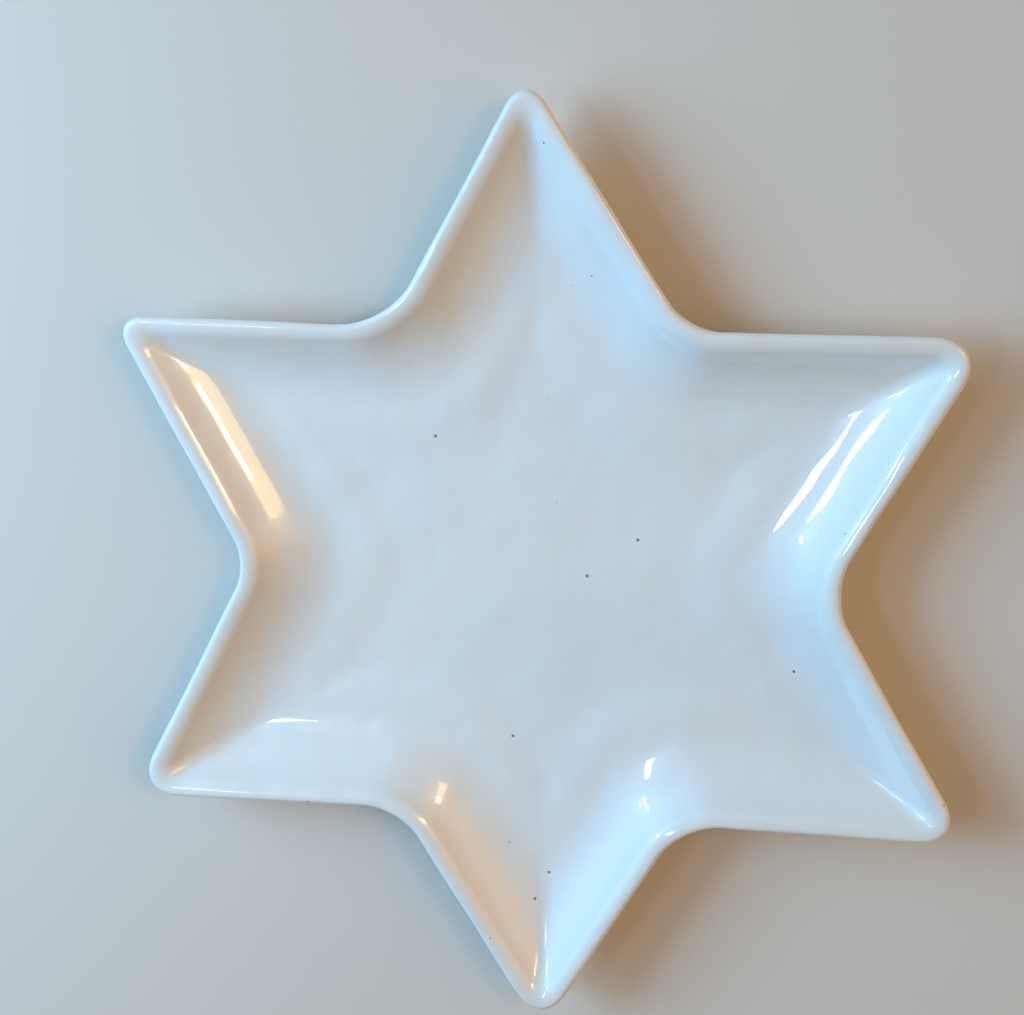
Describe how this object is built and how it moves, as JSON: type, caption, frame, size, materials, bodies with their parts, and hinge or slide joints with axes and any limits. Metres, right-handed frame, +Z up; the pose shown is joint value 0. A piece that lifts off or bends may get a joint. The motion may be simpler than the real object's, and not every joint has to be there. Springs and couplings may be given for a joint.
{
  "type": "star dish",
  "caption": "Shallow six-pointed star serving dish in white glazed ceramic, with sloping walls, a round lip, softly rounded corners and a bare star-shaped foot rim.",
  "frame": {"origin": "on the table under the foot rim, at the middle of the dish's overall box", "axes": "+Z up out of the hollow; +Y towards the tip of one arm, so that two arms lie along Y; +X to the right, between two arms"},
  "size_m": [0.26, 0.296, 0.02],
  "materials": {
    "glaze": "glossy white opaque glaze",
    "bare_clay": "matt unglazed biscuit"
  },
  "bodies": {
    "root": {"clay_body": "bare_clay", "glaze_coat": "glaze"}
  },
  "joints": []
}
